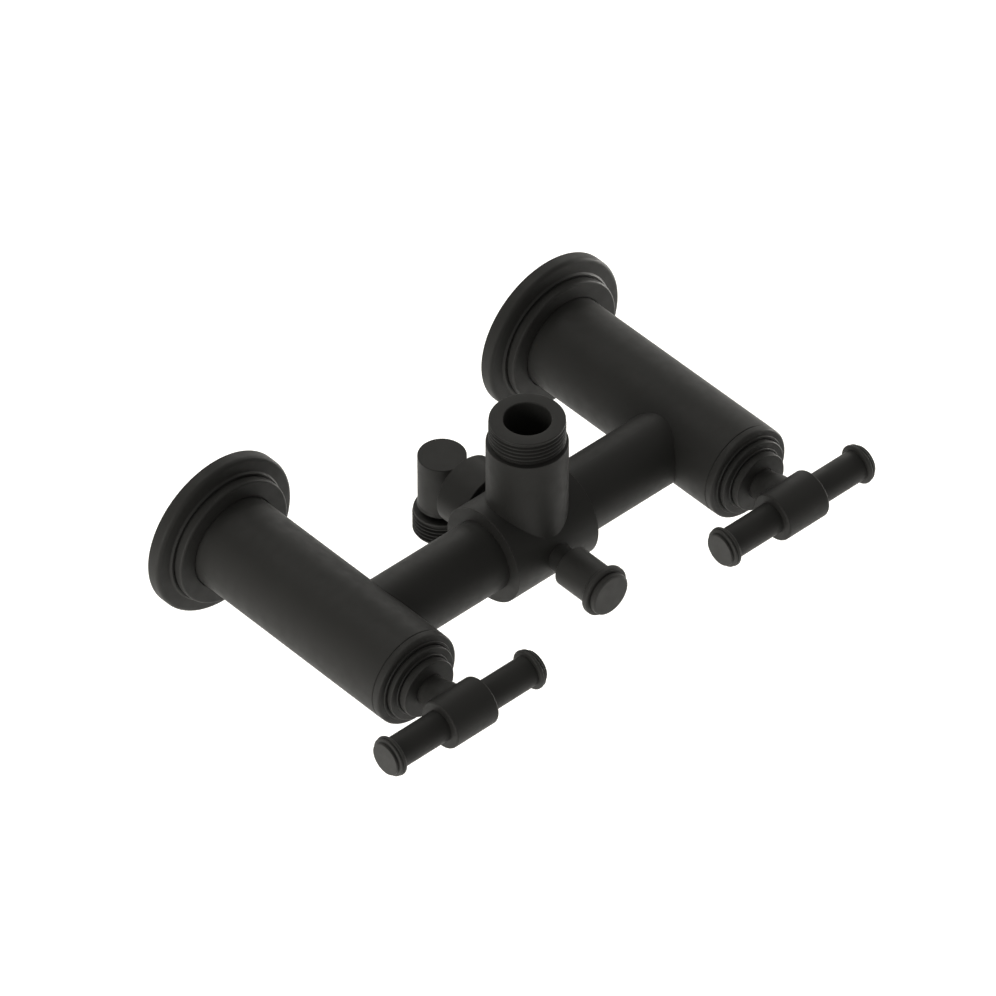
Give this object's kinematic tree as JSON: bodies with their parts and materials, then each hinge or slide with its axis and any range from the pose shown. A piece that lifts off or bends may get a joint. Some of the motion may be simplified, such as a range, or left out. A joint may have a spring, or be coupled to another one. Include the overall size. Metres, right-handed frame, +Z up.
{
  "type": "wall mounted bath faucet",
  "caption": "Matte black wall mounted bath mixer with a crossbar, riser outlet, rear hose outlet, pull diverter and bar handles.",
  "frame": {"origin": "midway between the two inlet centres, on the finished wall plane", "axes": "+X to the user's right along the crossbar, +Y into the wall, +Z up along the riser outlet"},
  "size_m": [0.2202, 0.1438, 0.0824],
  "materials": {
    "matte_black": "fine matte powder finish on brass",
    "bare_brass": "machined",
    "seal_rubber": "moulded",
    "disc_ceramic": "lapped",
    "stainless_steel": "plain",
    "valve_plastic": "moulded"
  },
  "bodies": {
    "faucet_body": {"left_wall_plate": "matte_black", "left_plate_ring": "seal_rubber", "left_wall_adaptor": "bare_brass", "left_adaptor_seal": "seal_rubber", "left_leg": "matte_black", "left_headwork": "bare_brass", "left_headwork_seal": "seal_rubber", "left_seat_ring": "seal_rubber", "left_fixed_disc": "disc_ceramic", "left_bonnet": "matte_black", "left_crossbar": "matte_black", "left_crossbar_seal": "seal_rubber", "right_wall_plate": "matte_black", "right_plate_ring": "seal_rubber", "right_wall_adaptor": "bare_brass", "right_adaptor_seal": "seal_rubber", "right_leg": "matte_black", "right_headwork": "bare_brass", "right_headwork_seal": "seal_rubber", "right_seat_ring": "seal_rubber", "right_fixed_disc": "disc_ceramic", "right_bonnet": "matte_black", "right_crossbar": "matte_black", "right_crossbar_seal": "seal_rubber", "leg_grub_screws": "stainless_steel", "centre_body": "matte_black", "riser_outlet": "matte_black", "rear_boss": "matte_black", "hose_elbow": "matte_black", "elbow_seal": "seal_rubber", "hose_nipple": "matte_black", "check_valve": "valve_plastic", "diverter_cage": "bare_brass", "diverter_gland": "matte_black", "gland_seal": "seal_rubber"},
    "left_handle": {"left_handle_hub": "matte_black", "left_handle_bar": "matte_black", "left_outer_end_cap": "matte_black", "left_inner_end_cap": "matte_black", "left_handle_screws": "stainless_steel", "left_spindle": "bare_brass", "left_spindle_seal": "seal_rubber", "left_circlip": "stainless_steel", "left_moving_disc": "disc_ceramic"},
    "right_handle": {"right_handle_hub": "matte_black", "right_handle_bar": "matte_black", "right_outer_end_cap": "matte_black", "right_inner_end_cap": "matte_black", "right_handle_screws": "stainless_steel", "right_spindle": "bare_brass", "right_spindle_seal": "seal_rubber", "right_circlip": "stainless_steel", "right_moving_disc": "disc_ceramic"},
    "diverter": {"diverter_knob": "matte_black", "diverter_knob_cap": "matte_black", "diverter_plunger": "bare_brass", "diverter_seal": "seal_rubber", "diverter_seal_nut": "stainless_steel"}
  },
  "joints": [
    {"name": "left_handle_turn", "type": "hinge", "parent": "faucet_body", "child": "left_handle", "pos_m": [-0.0762, -0.0716, 0], "axis": [0, -1, 0], "range_deg": [0, 90]},
    {"name": "right_handle_turn", "type": "hinge", "parent": "faucet_body", "child": "right_handle", "pos_m": [0.0762, -0.0716, 0], "axis": [0, 1, 0], "range_deg": [0, 90]},
    {"name": "diverter_pull", "type": "slide", "parent": "faucet_body", "child": "diverter", "axis": [0, -1, 0], "range_m": [0, 0.0074]}
  ]
}
